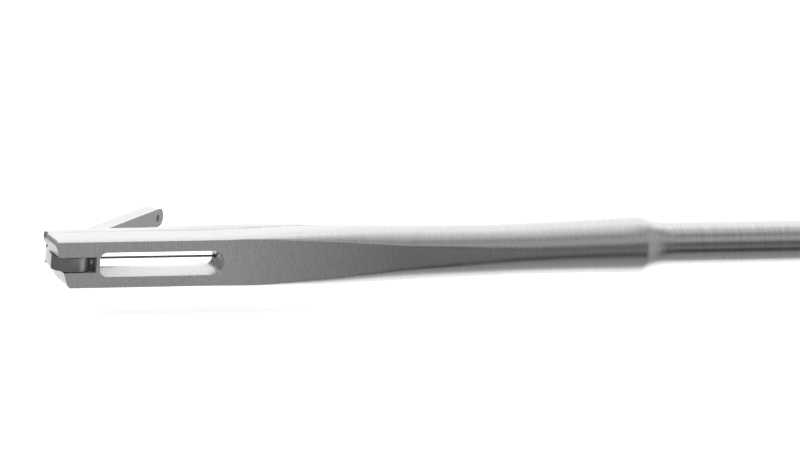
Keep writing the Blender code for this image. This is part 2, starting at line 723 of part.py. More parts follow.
def works_outline():
    """The cavity that the trigger, spool and spring work in."""
    fork = TRIGGER_PIVOT.y / MM
    return scaled([
        (TRIGGER_X / MM - 9.5, -20, 0),
        (TRIGGER_X / MM - 9.5, fork + 3.6, 3),
        (TRIGGER_X / MM + 5.4, fork + 3.6, 3),
        (TRIGGER_X / MM + 11.5, -20, 0),
    ])


def make_shell(name, low, high):
    outline = [Vector(p) for p in rounded_outline(handle_outline(), 7)]
    shell = finish(name, slab(outline, low, high), red_plastic, angle=24)
    outer_edges(shell, low, high)
    deep = (WALL, HANDLE_THICKNESS - WALL)
    boolean(shell, slab(rounded_outline(works_outline()), *deep), name="works")
    collar_x = NOSE_X + 3 * MM - SIDE_PLAY
    seat = [
        (NOSE_X - MM, SHAFT_RADIUS + RUNNING),
        (collar_x, SHAFT_RADIUS + RUNNING),
        (collar_x, COLLAR_RADIUS + RUNNING),
        (collar_x + COLLAR_WIDTH + 2 * SIDE_PLAY, COLLAR_RADIUS + RUNNING),
        (collar_x + COLLAR_WIDTH + 2 * SIDE_PLAY, SHAFT_RADIUS + RUNNING),
        (TUBE_END_X + FREE, SHAFT_RADIUS + RUNNING),
        (TUBE_END_X + FREE, SPOOL_RADIUS + FREE),
        (SPRING_X + SPRING_LENGTH, SPOOL_RADIUS + FREE),
        (SPRING_X + SPRING_LENGTH, ROD_RADIUS + 2 * RUNNING),
        (ROD_END_X + ROD_TRAVEL + FREE, ROD_RADIUS + 2 * RUNNING),
    ]
    boolean(shell, turned(seat, segments=32), name="shaft_seat")
    for pocket in grip_pockets():
        boolean(shell, slab(rounded_outline(scaled(pocket), 4), *deep), name="grip_pocket")
    pin = TRIGGER_PIN_RADIUS + SEATED
    ends = (PIN_INSET - 0.1 * MM, HANDLE_THICKNESS - PIN_INSET + 0.1 * MM)
    boolean(shell, post(TRIGGER_PIVOT.x, TRIGGER_PIVOT.y, pin, *ends), name="pin_seat")
    return shell


def grip_pockets():
    return (
        [(24, -6, 2), (32.5, -6, 2), (39, -30, 2), (24.5, -26, 3)],
        [(30.5, -46, 2), (45, -46, 2), (48.5, -76, 2), (34, -76, 2)],
    )


def outer_edges(shell, low, high):
    """Rounds the outside edge only, on the face away from the split."""
    outside = low if low < AXIS_Z * 0.5 else high
    bm = bmesh.new()
    bm.from_mesh(shell.data)
    edges = [e for e in bm.edges if all(abs(v.co.z - outside) < 1e-7 for v in e.verts)]
    bmesh.ops.bevel(bm, geom=edges, offset=EDGE_ROUND, segments=4, profile=0.5, affect="EDGES", clamp_overlap=True)
    bm.to_mesh(shell.data)
    bm.free()


def make_handle_shells():
    lower = make_shell("handle_shell_lower", 0.0, AXIS_Z - SEATED / 2)
    upper = make_shell("handle_shell_upper", AXIS_Z + SEATED / 2, HANDLE_THICKNESS)
    boolean(lower, slab(panel_outline(), -MM, PANEL_DEPTH), name="panel_seat")
    top = HANDLE_THICKNESS - PANEL_DEPTH
    boolean(upper, slab(panel_outline(), top, HANDLE_THICKNESS + MM), name="panel_seat")
    seat = HANDLE_THICKNESS - SCREW_SINK
    for u, v in GRIP_SCREWS:
        x, y = u * MM, v * MM
        hole = SCREW_RADIUS + SEATED
        boolean(lower, post(x, y, hole, SCREW_TIP_Z - 0.4 * MM, HANDLE_THICKNESS, 20), name="screw_hole")
        boolean(upper, post(x, y, hole, 0, seat + SEATED, 20), name="screw_hole")
        sink = post(x, y, SCREW_HEAD_RADIUS + 0.1 * MM, seat, 2 * HANDLE_THICKNESS, 28)
        boolean(upper, sink, name="screw_sink")
    return lower, upper


def make_housing_screws():
    seat = HANDLE_THICKNESS - SCREW_SINK + 0.1 * MM
    crest = seat + SCREW_HEAD_HEIGHT
    for number, (u, v) in enumerate(GRIP_SCREWS, 1):
        x, y = u * MM, v * MM
        shank = post(x, y, SCREW_RADIUS, SCREW_TIP_Z, seat + 0.9 * MM, 20)
        screw = finish(f"housing_screw_{number}", shank, polished_steel)
        boolean(screw, post(x, y, SCREW_HEAD_RADIUS, seat, crest, 28), "UNION", "head")
        boolean(screw, post(x, y, 1.1 * MM, crest - 1.2 * MM, crest + MM, 6), name="hex_socket")


def trigger_outline():
    fork = TRIGGER_PIVOT.y / MM
    x = TRIGGER_X / MM
    return scaled([
        (x - 3.3, fork + 3.3, 3.2),
        (x + 3.3, fork + 3.3, 3.2),
        (x + 3.8, -10, 8),
        (x + 6.0, -24, 22),
        (x + 9.5, -46, 40),
        (x + 8.0, -74, 22),
        (x + 1.0, -88, 3.8),
        (x - 7.0, -84, 3.8),
        (x - 0.5, -66, 20),
        (x + 0.5, -44, 34),
        (x - 3.2, -24, 22),
        (x - 4.6, -10, 8),
    ])


def make_trigger(hinge):
    half = TRIGGER_THICKNESS / 2
    outline = rounded_outline(trigger_outline(), 6)
    trigger = finish("trigger", slab(outline, AXIS_Z - half, AXIS_Z + half), dark_plastic, hinge, angle=24)
    rounded(trigger, 0.9 * MM, 2, 60)
    gap = SPOOL_RADIUS + FREE
    across = (TRIGGER_X - 8 * MM, TRIGGER_X + 8 * MM)
    low = (across[0], -4.5 * MM, AXIS_Z - gap)
    high = (across[1], TRIGGER_PIVOT.y - 2.0 * MM, AXIS_Z + gap)
    boolean(trigger, block(low, high), name="fork")
    near = ROD_RADIUS + SPOOL_WALL + FREE / 2
    for side in (-1, 1):
        ends = sorted((AXIS_Z + side * near, AXIS_Z + side * (gap + 0.5 * MM)))
        nib = post(TRIGGER_X, 0, SPOOL_GROOVE / 2 - RUNNING - 0.1 * MM, *ends, 24)
        boolean(trigger, nib, "UNION", "fork_nib")
    bore = TRIGGER_PIN_RADIUS + RUNNING
    boolean(trigger, post(TRIGGER_PIVOT.x, TRIGGER_PIVOT.y, bore, 0, 2 * AXIS_Z), name="bore")
    pad = trigger_pad_outline()
    boolean(trigger, slab(pad, AXIS_Z - half - MM, AXIS_Z + half + MM), name="pad_seat")
    return trigger


def trigger_pad_outline():
    """The front of the finger lever, where the soft pad is set in."""
    x = TRIGGER_X / MM
    return rounded_outline(scaled([
        (x - 8.0, -30, 0),
        (x - 2.2, -30, 1.0),
        (x + 2.4, -46, 30),
        (x + 1.4, -64, 24),
        (x - 2.0, -72, 1.0),
        (x - 8.0, -72, 0),
    ]), 5)


def make_trigger_pad(hinge):
    """A soft strip on the finger side, a little narrower than the lever."""
    x = TRIGGER_X / MM
    outline = rounded_outline(scaled([
        (x - 4.3, -30.3, 0.8),
        (x - 2.5, -30.3, 0.8),
        (x + 2.1, -46, 30),
        (x + 1.1, -64, 24),
        (x - 2.3, -71.7, 0.8),
        (x - 4.6, -71.7, 0.8),
        (x - 1.4, -62, 20),
        (x - 0.9, -46, 30),
    ]), 5)
    half = TRIGGER_THICKNESS / 2 - 0.2 * MM
    pad = finish("trigger_pad", slab(outline, AXIS_Z - half, AXIS_Z + half), soft_grip, hinge, angle=24)
    return rounded(pad, 0.5 * MM, 2, 60)


def make_trigger_washers():
    lifts = ((WALL, "lower"), (AXIS_Z + TRIGGER_THICKNESS / 2, "upper"))
    for low, name in lifts:
        high = low + HANDLE_THICKNESS / 2 - WALL - TRIGGER_THICKNESS / 2
        x, y = TRIGGER_PIVOT.xy
        ring = post(x, y, 2.9 * MM, low + SIDE_PLAY / 2, high - SIDE_PLAY / 2, 28)
        washer = finish(f"trigger_washer_{name}", ring, polished_steel)
        boolean(washer, post(x, y, TRIGGER_PIN_RADIUS + RUNNING, low - MM, high + MM), name="bore")


def panel_outline(gap=0.0):
    s = gap / MM
    return rounded_outline(scaled([
        (29 + s, -45 - s, 4),
        (45.5 - s, -45 - s, 4),
        (49.5 - s, -77 + s, 4),
        (33.5 + s, -77 + s, 4),
    ]), 5)


def make_grip_panels():
    gap = 2 * SEATED
    lifts = (
        (0.0, PANEL_DEPTH - gap, "lower"),
        (HANDLE_THICKNESS - PANEL_DEPTH + gap, HANDLE_THICKNESS, "upper"),
    )
    for low, high, name in lifts:
        finish(f"grip_panel_{name}", slab(panel_outline(gap), low, high), soft_grip, angle=24)


def make_trigger_pin():
    ends = (PIN_INSET, HANDLE_THICKNESS - PIN_INSET)
    pin = post(TRIGGER_PIVOT.x, TRIGGER_PIVOT.y, TRIGGER_PIN_RADIUS, *ends)
    return rounded(finish("trigger_pivot_pin", pin, polished_steel), 0.15 * MM, 1)


clear_scene()
shaft_axis = pivot_empty("shaft_spin_axis", (NOSE_X, 0, AXIS_Z))
arm_axis = pivot_empty("anvil_hinge_axis", PIVOT)
rod_axis = pivot_empty("rod_slide_axis", (SPOOL_X, 0, AXIS_Z))
trigger_axis = pivot_empty("trigger_hinge_axis", TRIGGER_PIVOT)

make_head_body(shaft_axis)
plate_screw_holes(make_back_plate(shaft_axis))
make_plate_screws(shaft_axis)
make_anvil_arm(arm_axis)
make_arm_pivot_pin(shaft_axis)
make_head_spigot(shaft_axis)
make_shaft_tube(shaft_axis)
make_shaft_collar(shaft_axis)
make_rotation_knob(shaft_axis)
make_knob_set_screw(shaft_axis)
make_drive_wire(rod_axis)
make_pull_rod(rod_axis)
make_rod_spool(rod_axis)
make_return_spring()
make_handle_shells()
make_housing_screws()
make_trigger(trigger_axis)
make_trigger_pad(trigger_axis)
make_trigger_pin()
make_trigger_washers()
make_grip_panels()
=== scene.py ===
"""Long reach stapler: the finished look of the steel head, arm and shaft and of the pistol handle."""

import json
import math

import bpy
from mathutils import Matrix, Vector


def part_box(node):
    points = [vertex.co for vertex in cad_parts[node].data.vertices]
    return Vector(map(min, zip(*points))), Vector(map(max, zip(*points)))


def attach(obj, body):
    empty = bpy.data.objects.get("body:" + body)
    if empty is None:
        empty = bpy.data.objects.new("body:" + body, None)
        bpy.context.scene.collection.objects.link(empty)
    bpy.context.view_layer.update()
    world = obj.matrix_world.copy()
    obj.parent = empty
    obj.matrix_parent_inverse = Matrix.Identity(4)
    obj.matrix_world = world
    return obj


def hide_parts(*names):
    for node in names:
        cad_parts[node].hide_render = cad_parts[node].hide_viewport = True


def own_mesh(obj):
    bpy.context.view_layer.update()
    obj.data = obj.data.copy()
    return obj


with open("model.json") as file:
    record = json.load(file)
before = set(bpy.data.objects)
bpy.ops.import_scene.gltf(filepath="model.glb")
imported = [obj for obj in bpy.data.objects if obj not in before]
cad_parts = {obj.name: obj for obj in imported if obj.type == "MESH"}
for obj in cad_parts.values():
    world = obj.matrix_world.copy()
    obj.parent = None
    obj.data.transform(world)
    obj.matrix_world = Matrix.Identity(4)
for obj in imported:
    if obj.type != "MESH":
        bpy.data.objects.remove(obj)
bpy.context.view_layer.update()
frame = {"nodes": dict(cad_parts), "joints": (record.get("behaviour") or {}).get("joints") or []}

MM = 0.001

# The head, worked out from the frame
head_low, head_high = (Vector(corner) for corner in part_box("head_body"))
tube_low, tube_high = (Vector(corner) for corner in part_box("shaft_tube"))
arm_joint = next(j for j in frame["joints"] if j["name"] == "arm_hinge")
PIVOT = Vector(arm_joint["pos_m"])
ARM_OPEN = math.radians(46.5)
SHAFT_RADIUS = (tube_high.y - tube_low.y) / 2
AXIS_Z = (tube_high.z + tube_low.z) / 2
TIP_X = PIVOT.x - 2.4 * MM
BAR_Z = PIVOT.z
BAR_HALF = 2.85 * MM
NECK_HEIGHT = 1.8 * MM
NECK_END = TIP_X + 4.85 * MM
WINDOW = (TIP_X + 5.25 * MM, TIP_X + 20.0 * MM, 2.8 * MM)
SEAM_Y = 1.2 * MM
BACK_Y = 3.2 * MM


# ---------------------------------------------------------------- working by hand


def clear_selection():
    if bpy.context.mode != "OBJECT":
        bpy.ops.object.mode_set(mode="OBJECT")
    bpy.ops.object.select_all(action="DESELECT")


def pick(piece):
    clear_selection()
    piece.select_set(True)
    bpy.context.view_layer.objects.active = piece


def edit(piece):
    pick(piece)
    bpy.ops.object.mode_set(mode="EDIT")
    bpy.ops.mesh.select_all(action="DESELECT")


def settle(piece):
    """Puts a piece's place, turn and scale into its mesh."""
    pick(piece)
    bpy.ops.object.transform_apply(location=True, rotation=True, scale=True)


def apply_modifiers(piece):
    pick(piece)
    for step in list(piece.modifiers):
        bpy.ops.object.modifier_apply(modifier=step.name)


def turned(name, profile, y=0.0, z=AXIS_Z, sides=96):
    """A solid of turning: a circle extruded along X and drawn in or out at each (x, radius)."""
    clear_selection()
    x, radius = profile[0]
    bpy.ops.mesh.primitive_circle_add(
        vertices=sides, radius=radius, fill_type="NGON", location=(x, y, z), rotation=(0, math.pi / 2, 0)
    )
    piece = bpy.context.active_object
    piece.name = name
    settle(piece)
    bpy.ops.object.mode_set(mode="EDIT")
    bpy.ops.mesh.select_all(action="SELECT")
    for (x0, r0), (x1, r1) in zip(profile, profile[1:]):
        bpy.ops.mesh.extrude_region_move(TRANSFORM_OT_translate={"value": (x1 - x0, 0, 0)})
        share = r1 / r0
        bpy.ops.transform.resize(value=(1, share, share), center_override=(x1, y, z))
    bpy.ops.mesh.select_all(action="SELECT")
    bpy.ops.mesh.normals_make_consistent(inside=False)
    bpy.ops.object.mode_set(mode="OBJECT")
    return piece


def bar(name, low, high):
    """A box between two corners."""
    clear_selection()
    middle = (Vector(low) + Vector(high)) / 2
    bpy.ops.mesh.primitive_cube_add(size=1, location=middle)
    piece = bpy.context.active_object
    piece.name = name
    piece.scale = Vector(high) - Vector(low)
    settle(piece)
    return piece


def drilled(name, centre, radius, depth, turn=(0, 0, 0), sides=64):
    clear_selection()
    bpy.ops.mesh.primitive_cylinder_add(vertices=sides, radius=radius, depth=depth, location=centre, rotation=turn)
    piece = bpy.context.active_object
    piece.name = name
    settle(piece)
    return piece


def combine(piece, tool, operation="DIFFERENCE"):
    """Cuts, joins or crosses a piece with a tool that is then thrown away."""
    pick(piece)
    step = piece.modifiers.new("combine", "BOOLEAN")
    step.operation = operation
    step.solver = "EXACT"
    step.object = tool
    bpy.ops.object.modifier_apply(modifier=step.name)
    bpy.data.objects.remove(tool, do_unlink=True)


def soften(piece, width, segments=3, angle=35):
    """Breaks the sharp edges and shades the rest smooth."""
    step = piece.modifiers.new("broken edges", "BEVEL")
    step.width = width
    step.segments = segments
    step.limit_method = "ANGLE"
    step.angle_limit = math.radians(angle)
    step.harden_normals = False
    apply_modifiers(piece)
    pick(piece)
    bpy.ops.object.shade_smooth_by_angle(angle=math.radians(angle))


def weighted(piece):
    step = piece.modifiers.new("even shading", "WEIGHTED_NORMAL")
    step.keep_sharp = True
    step.weight = 60
    apply_modifiers(piece)


def mount(piece, body, finish, slot, *nodes):
    """Hangs a finished piece on its body, in place of the plain solids it stands for."""
    piece.data.materials.clear()
    piece.data.materials.append(finish)
    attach(piece, body)
    if nodes:
        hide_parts(*nodes)
    return piece


# ---------------------------------------------------------------- finishes


def blank_finish(name, colour, roughness, metallic):
    made = bpy.data.materials.new(name)
    made.use_nodes = True
    shader = made.node_tree.nodes["Principled BSDF"]
    shader.inputs["Base Color"].default_value = (*colour, 1)
    shader.inputs["Roughness"].default_value = roughness
    shader.inputs["Metallic"].default_value = metallic
    return made, made.node_tree, shader


def pattern(tree, scale, detail=4.0, roughness=0.6, size=1.0, turn=(0, 0, 0)):
    """A noise on the piece's own coordinates, stretched by a scale for each axis."""
    place = tree.nodes.new("ShaderNodeTexCoord")
    stretch = tree.nodes.new("ShaderNodeMapping")
    stretch.inputs["Scale"].default_value = scale
    stretch.inputs["Rotation"].default_value = turn
    noise = tree.nodes.new("ShaderNodeTexNoise")
    noise.inputs["Scale"].default_value = size
    noise.inputs["Detail"].default_value = detail
    noise.inputs["Roughness"].default_value = roughness
    tree.links.new(place.outputs["Object"], stretch.inputs["Vector"])
    tree.links.new(stretch.outputs["Vector"], noise.inputs["Vector"])
    return noise.outputs["Fac"]


def spread(tree, value, low, high, start=0.3, stop=0.7):
    """Moves a pattern's range to low..high."""
    ramp = tree.nodes.new("ShaderNodeMapRange")
    ramp.inputs["From Min"].default_value = start
    ramp.inputs["From Max"].default_value = stop
    ramp.inputs["To Min"].default_value = low
    ramp.inputs["To Max"].default_value = high
    tree.links.new(value, ramp.inputs["Value"])
    return ramp.outputs["Result"]


def tinted(tree, value, dark, light):
    """A colour that runs from dark to light along a pattern."""
    mix = tree.nodes.new("ShaderNodeMix")
    mix.data_type = "RGBA"
    mix.inputs[6].default_value = (*dark, 1)
    mix.inputs[7].default_value = (*light, 1)
    tree.links.new(value, mix.inputs[0])
    return mix.outputs[2]


def relief(tree, shader, value, depth, strength=1.0, under=None):
    bump = tree.nodes.new("ShaderNodeBump")
    bump.inputs["Distance"].default_value = depth
    bump.inputs["Strength"].default_value = strength
    tree.links.new(value, bump.inputs["Height"])
    if under:
        tree.links.new(under, bump.inputs["Normal"])
    tree.links.new(bump.outputs["Normal"], shader.inputs["Normal"])
    return bump.outputs["Normal"]


def arithmetic(tree, kind, first, second):
    node = tree.nodes.new("ShaderNodeMath")
    node.operation = kind
    for socket, value in zip(node.inputs, (first, second)):
        if isinstance(value, (int, float)):
            socket.default_value = value
        else:
            tree.links.new(value, socket)
    return node.outputs[0]


def brushed_steel(name, colour, roughness, grain=(9000, 700, 500), turn=(0, 0, 0), painted_lift=None):
    """Stainless steel with a fine grain across the part, faint clouding and a few longer scratches."""
    depth, swing = 0.6e-6, 0.05
    made, tree, shader = blank_finish(name, colour, roughness, 1.0)
    fine = pattern(tree, grain, 5.0, 0.7, turn=turn)
    cloud = pattern(tree, (180, 220, 220), 3.0)
    scratch = pattern(tree, (2600, 160, 120), 2.0, turn=turn)
    blend = arithmetic(tree, "ADD", spread(tree, fine, -swing, swing), spread(tree, cloud, -swing / 2, swing / 2))
    rough = arithmetic(tree, "ADD", blend, roughness)
    tree.links.new(rough, shader.inputs["Roughness"])
    dark = tuple(c * 0.8 for c in colour)
    tree.links.new(tinted(tree, spread(tree, fine, 0, 1), dark, colour), shader.inputs["Base Color"])
    first = relief(tree, shader, scratch, depth * 0.8)
    relief(tree, shader, fine, depth, under=first)
    # Painted light: metallic is run down towards one end of the part, so that end takes a matt share of the white
    # room and reads lighter
    if painted_lift:
        place = tree.nodes.new("ShaderNodeTexCoord")
        split = tree.nodes.new("ShaderNodeSeparateXYZ")
        tree.links.new(place.outputs["Object"], split.inputs[0])
        tree.links.new(spread(tree, split.outputs["X"], *painted_lift), shader.inputs["Metallic"])
    return made


def polished_steel(name, colour, roughness=0.14):
    made, tree, shader = blank_finish(name, colour, roughness, 1.0)
    cloud = pattern(tree, (900, 900, 900), 4.0)
    tree.links.new(spread(tree, cloud, roughness * 0.7, roughness * 1.5), shader.inputs["Roughness"])
    dark = tuple(c * 0.9 for c in colour)
    tree.links.new(tinted(tree, spread(tree, cloud, 0, 1), dark, colour), shader.inputs["Base Color"])
    relief(tree, shader, pattern(tree, (3000, 3000, 3000), 2.0), 0.4e-6)
    return made


def moulded_plastic(name, colour, roughness, grain=2200, depth=4e-6):
    made, tree, shader = blank_finish(name, colour, roughness, 0.0)
    fine = pattern(tree, (grain, grain, grain), 3.0)
    cloud = pattern(tree, (60, 60, 60), 4.0)
    tree.links.new(spread(tree, cloud, roughness - 0.06, roughness + 0.08), shader.inputs["Roughness"])
    dark = tuple(c * 0.82 for c in colour)
    tree.links.new(tinted(tree, spread(tree, cloud, 0, 1), dark, colour), shader.inputs["Base Color"])
    shader.inputs["Coat Weight"].default_value = 0.15
    shader.inputs["Coat Roughness"].default_value = 0.25
    relief(tree, shader, fine, depth)
    return made


def pebbled_rubber(name, colour):
    made, tree, shader = blank_finish(name, colour, 0.7, 0.0)
    place = tree.nodes.new("ShaderNodeTexCoord")
    cells = tree.nodes.new("ShaderNodeTexVoronoi")
    cells.inputs["Scale"].default_value = 900
    tree.links.new(place.outputs["Object"], cells.inputs["Vector"])
    rise = spread(tree, cells.outputs["Distance"], 1, 0, 0.1, 0.7)
    cloud = pattern(tree, (90, 90, 90), 4.0)
    light = tuple(c * 1.7 for c in colour)
    tree.links.new(tinted(tree, spread(tree, cloud, 0, 1), colour, light), shader.inputs["Base Color"])
    tree.links.new(spread(tree, cloud, 0.62, 0.8), shader.inputs["Roughness"])
    relief(tree, shader, rise, 60e-6)
    return made


# ---------------------------------------------------------------- head


def oval(half_width, half_height, square, centre, front, back, count=64):
    """Points round a squared oval that is cut off by the front and back flats."""
    points = []
    for k in range(count):
        a = 2 * math.pi * (k + 0.5) / count
        c, s = math.cos(a), math.sin(a)
        y = math.copysign(abs(c) ** (2 / square), c) * half_width
        z = math.copysign(abs(s) ** (2 / square), s) * half_height
        points.append((min(max(y, -front), back), centre + z))
    return points


def head_stations():
    """(x behind the tip, half width, half height, squareness, centre, front, back) along the head."""
    drop = BAR_Z - AXIS_Z
    return (
        (0.0, 3.6, 2.85, 7.5, 1.0, 3.2, 3.2),
        (3.0, 3.6, 2.85, 7.5, 1.0, 3.2, 3.2),
        (8.0, 3.6, 2.85, 7.5, 1.0, 3.2, 3.2),
        (12.0, 3.6, 2.85, 7.5, 1.0, 3.2, 3.2),
        (14.7, 3.6, 2.85, 7.5, 1.0, 3.2, 3.2),
        (17.3, 3.6, 2.85, 7.5, 1.0, 3.2, 3.2),
        (20.0, 3.6, 2.89, 7.1, 1.0, 3.2, 3.2),
        (23.0, 3.6, 2.97, 6.5, 1.0, 3.2, 3.2),
        (25.0, 3.6, 3.04, 5.4, 1.0, 3.2, 3.2),
        (27.0, 3.6, 3.11, 4.4, 0.98, 3.2, 3.2),
        (29.0, 3.55, 3.18, 3.8, 0.98, 3.18, 3.18),
        (31.5, 3.49, 3.24, 3.3, 0.97, 3.14, 3.14),
        (34.8, 3.40, 3.27, 2.7, 0.95, 3.01, 3.07),
        (36.0, 3.36, 3.28, 2.5, 0.94, 2.96, 3.05),
        (39.0, 3.28, 3.25, 2.2, 0.92, 2.88, 2.98),
        (42.0, 3.20, 3.20, 2.0, 0.90, 2.84, 2.93),
        (47.0, 3.08, 3.08, 2.0, 0.82, 2.84, 2.88),
        (52.0, 3.00, 3.00, 2.0, 0.72, 2.90, 2.92),
        (57.0, 2.98, 2.98, 2.0, 0.58, 2.96, 2.96),
        (62.0, 3.04, 3.04, 2.0, 0.42, 3.04, 3.04),
        (67.0, 3.14, 3.14, 2.0, 0.26, 3.14, 3.14),
        (70.0, 3.23, 3.23, 2.0, 0.18, 3.23, 3.23),
        (71.9, 3.27, 3.27, 2.0, 0.13, 3.27, 3.27),
        (72.3, 3.20, 3.20, 2.0, 0.12, 3.20, 3.20),
        (72.7, 3.07, 3.07, 2.0, 0.10, 3.07, 3.07),
        (73.2, 2.90, 2.90, 2.0, 0.08, 2.90, 2.90),
        (73.8, 2.73, 2.73, 2.0, 0.05, 2.73, 2.73),
        (74.5, 2.59, 2.59, 2.0, 0.02, 2.59, 2.59),
        (75.2, 2.52, 2.52, 2.0, 0.01, 2.52, 2.52),
        (75.9, 2.50, 2.50, 2.0, 0.00, 2.50, 2.50),
    ), drop


def crown(x, y):
    """Lift of the back plate's top edge, in millimetres: dipping at the nose, highest at mid plate, none at its tail."""
    across = min(max((y - 1.2) / 2, 0), 1)
    nose = -0.25 * max(1 - x / 3, 0)
    start = min(max((x - 12) / 8, 0), 1)
    tail = min(max((34.8 - x) / 6, 0), 1)
    return (nose + (0.35 + 0.65 * start) * 0.3 * tail) * across


def head_blank(name, crowned=False, sides=128):
    """The whole blank: a ring extruded along X, each new ring shaped to its station's section."""
    stations, drop = head_stations()
    clear_selection()
    start = (TIP_X, 0, BAR_Z)
    bpy.ops.mesh.primitive_circle_add(
        vertices=sides, radius=3 * MM, fill_type="NGON", location=start, rotation=(0, math.pi / 2, 0)
    )
    piece = bpy.context.active_object
    piece.name = name
    settle(piece)
    bpy.ops.object.mode_set(mode="EDIT")
    bpy.ops.mesh.select_all(action="SELECT")
    for before, after in zip(stations, stations[1:]):
        step = (after[0] - before[0]) * MM
        bpy.ops.mesh.extrude_region_move(TRANSFORM_OT_translate={"value": (step, 0, 0)})
    bpy.ops.object.mode_set(mode="OBJECT")
    for number, (x, width, height, square, centre, front, back) in enumerate(stations):
        ring = [v for v in piece.data.vertices if abs(v.co.x - TIP_X - x * MM) < 0.01 * MM]
        middle = AXIS_Z + centre * drop
        ring.sort(key=lambda v: math.atan2(v.co.z - BAR_Z, v.co.y))
        section = oval(width * MM, height * MM, square, middle, front * MM, back * MM, len(ring))
        section.sort(key=lambda p: math.atan2(p[1] - middle, p[0]))
        for vertex, (y, z) in zip(ring, section):
            vertex.co.y = y
            vertex.co.z = z + (crown(x, y / MM) * MM if crowned and z > middle else 0.0)
    edit(piece)
    bpy.ops.mesh.select_all(action="SELECT")
    bpy.ops.mesh.normals_make_consistent(inside=False)
    bpy.ops.object.mode_set(mode="OBJECT")
    return piece


def extruded_outline(name, points, low, high, along="Y"):
    """A prism from an outline, filled and then extruded along Y or Z."""
    mesh = bpy.data.meshes.new(name)
    lift = (lambda u, v: (u, low, v)) if along == "Y" else (lambda u, v: (u, v, low))
    mesh.from_pydata([lift(u, v) for u, v in points], [], [tuple(range(len(points)))])
    piece = bpy.data.objects.new(name, mesh)
    bpy.context.scene.collection.objects.link(piece)
    edit(piece)
    bpy.ops.mesh.select_all(action="SELECT")
    push = (0, high - low, 0) if along == "Y" else (0, 0, high - low)
    bpy.ops.mesh.extrude_region_move(TRANSFORM_OT_translate={"value": push})
    bpy.ops.mesh.select_all(action="SELECT")
    bpy.ops.mesh.normals_make_consistent(inside=False)
    bpy.ops.object.mode_set(mode="OBJECT")
    return piece


def arc(centre, radius, start, stop, count=16):
    """Points of an arc, angles in degrees."""
    turn = [math.radians(start + (stop - start) * k / count) for k in range(count + 1)]
    return [(centre[0] + radius * math.cos(a), centre[1] + radius * math.sin(a)) for a in turn]


def window_tool(grow=0.0):
    """The slot: small corner rounds at the left, one full round at the right."""
    left, right, height = WINDOW
    half = height / 2 + grow
    corner = 0.85 * MM
    left -= grow
    points = arc((left + corner, BAR_Z - half + corner), corner, 180, 270, 10)
    points += arc((right + grow - half, BAR_Z), half, -90, 90, 40)
    points += arc((left + corner, BAR_Z + half - corner), corner, 90, 180, 10)
    return extruded_outline("window", points, -9 * MM, 9 * MM)


def tip_tool(back=0.0):
    """What the leaning tip face and the rounded chin take away, set back by a distance."""
    top, bottom = BAR_Z + BAR_HALF, BAR_Z - BAR_HALF
    radius = 1.0 * MM
    chin = (TIP_X + back + 1.8 * MM + radius * 0.6, bottom + radius)
    brow = 0.55 * MM
    far = 3 * MM
    points = [(TIP_X - far, top + far), (TIP_X - far, bottom - far), (chin[0] + 0.2 * MM, bottom - far)]
    points += arc(chin, radius, 270, 196, 16)
    points += arc((TIP_X + back + brow, top - brow + 0.02 * MM), brow, 192, 90, 16)
    points += [(TIP_X + back + brow, top + far)]
    return extruded_outline("tip", points, -9 * MM, 9 * MM)


def make_head(steel):
    head = head_blank("head_front")
    plate_end = TIP_X + 34.8 * MM
    combine(head, bar("seat", (TIP_X - MM, SEAM_Y, 0), (plate_end, 9 * MM, 2 * AXIS_Z)))
    combine(head, tip_tool())
    combine(head, window_tool())
    half = NECK_HEIGHT / 2
    combine(head, bar("neck", (TIP_X - 2 * MM, -9 * MM, BAR_Z - half), (NECK_END, 9 * MM, BAR_Z + half)))
    hole = drilled("wire_hole", (TIP_X + 22 * MM, 0.238 * MM, BAR_Z), 0.25 * MM, 36 * MM, (0, math.pi / 2, 0), 24)
    combine(head, hole)
    pin = drilled("pin_hole", (PIVOT.x, PIVOT.y, BAR_Z), 0.62 * MM, 4.6 * MM, sides=40)
    combine(head, pin)
    soften(head, 0.2 * MM, 4, 32)
    weighted(head)
    return mount(head, "shaft", steel, "satin_steel", "head_body")


def make_back_plate(steel):
    plate = head_blank("head_rear_plate", crowned=True)
    keep = bar("keep", (TIP_X + 0.2 * MM, SEAM_Y + 0.02 * MM, 0), (TIP_X + 34.78 * MM, 9 * MM, 2 * AXIS_Z))
    combine(plate, keep, "INTERSECT")
    combine(plate, tip_tool(0.12 * MM))
    outside = SEAM_Y + 1.5 * MM
    ramp = [
        (TIP_X - 2 * MM, outside),
        (TIP_X + 16 * MM, outside),
        (TIP_X + 19.6 * MM, BACK_Y),
        (TIP_X + 19.6 * MM, 9 * MM),
        (TIP_X - 2 * MM, 9 * MM),
    ]
    combine(plate, extruded_outline("ramp", ramp, 0, 2 * AXIS_Z, "Z"))
    half = 1.35 * MM
    end = PIVOT.x + 28.7 * MM
    pocket = [(TIP_X - 3 * MM, BAR_Z - half)]
    pocket += arc((end - half, BAR_Z), half, -90, 90, 24)
    pocket += [(TIP_X - 3 * MM, BAR_Z + half)]
    combine(plate, extruded_outline("pocket", pocket, 0, 9 * MM))
    combine(plate, window_tool(0.15 * MM))
    for side in (-1, 1):
        place = (TIP_X + 32.9 * MM, 3 * MM, BAR_Z + side * 1.75 * MM)
        combine(plate, drilled("sink", place, 0.82 * MM, 1.84 * MM, (math.pi / 2, 0, 0), 48))
    soften(plate, 0.1 * MM, 3, 32)
    weighted(plate)
    return mount(plate, "shaft", steel, "satin_steel", "head_back_plate")


# ---------------------------------------------------------------- arm


def swing_open(piece):
    """Turns a piece drawn folded against the head to the arm's open rest."""
    edit(piece)
    bpy.ops.mesh.select_all(action="SELECT")
    bpy.ops.transform.rotate(value=-ARM_OPEN, orient_axis="Z", center_override=PIVOT)
    bpy.ops.object.mode_set(mode="OBJECT")


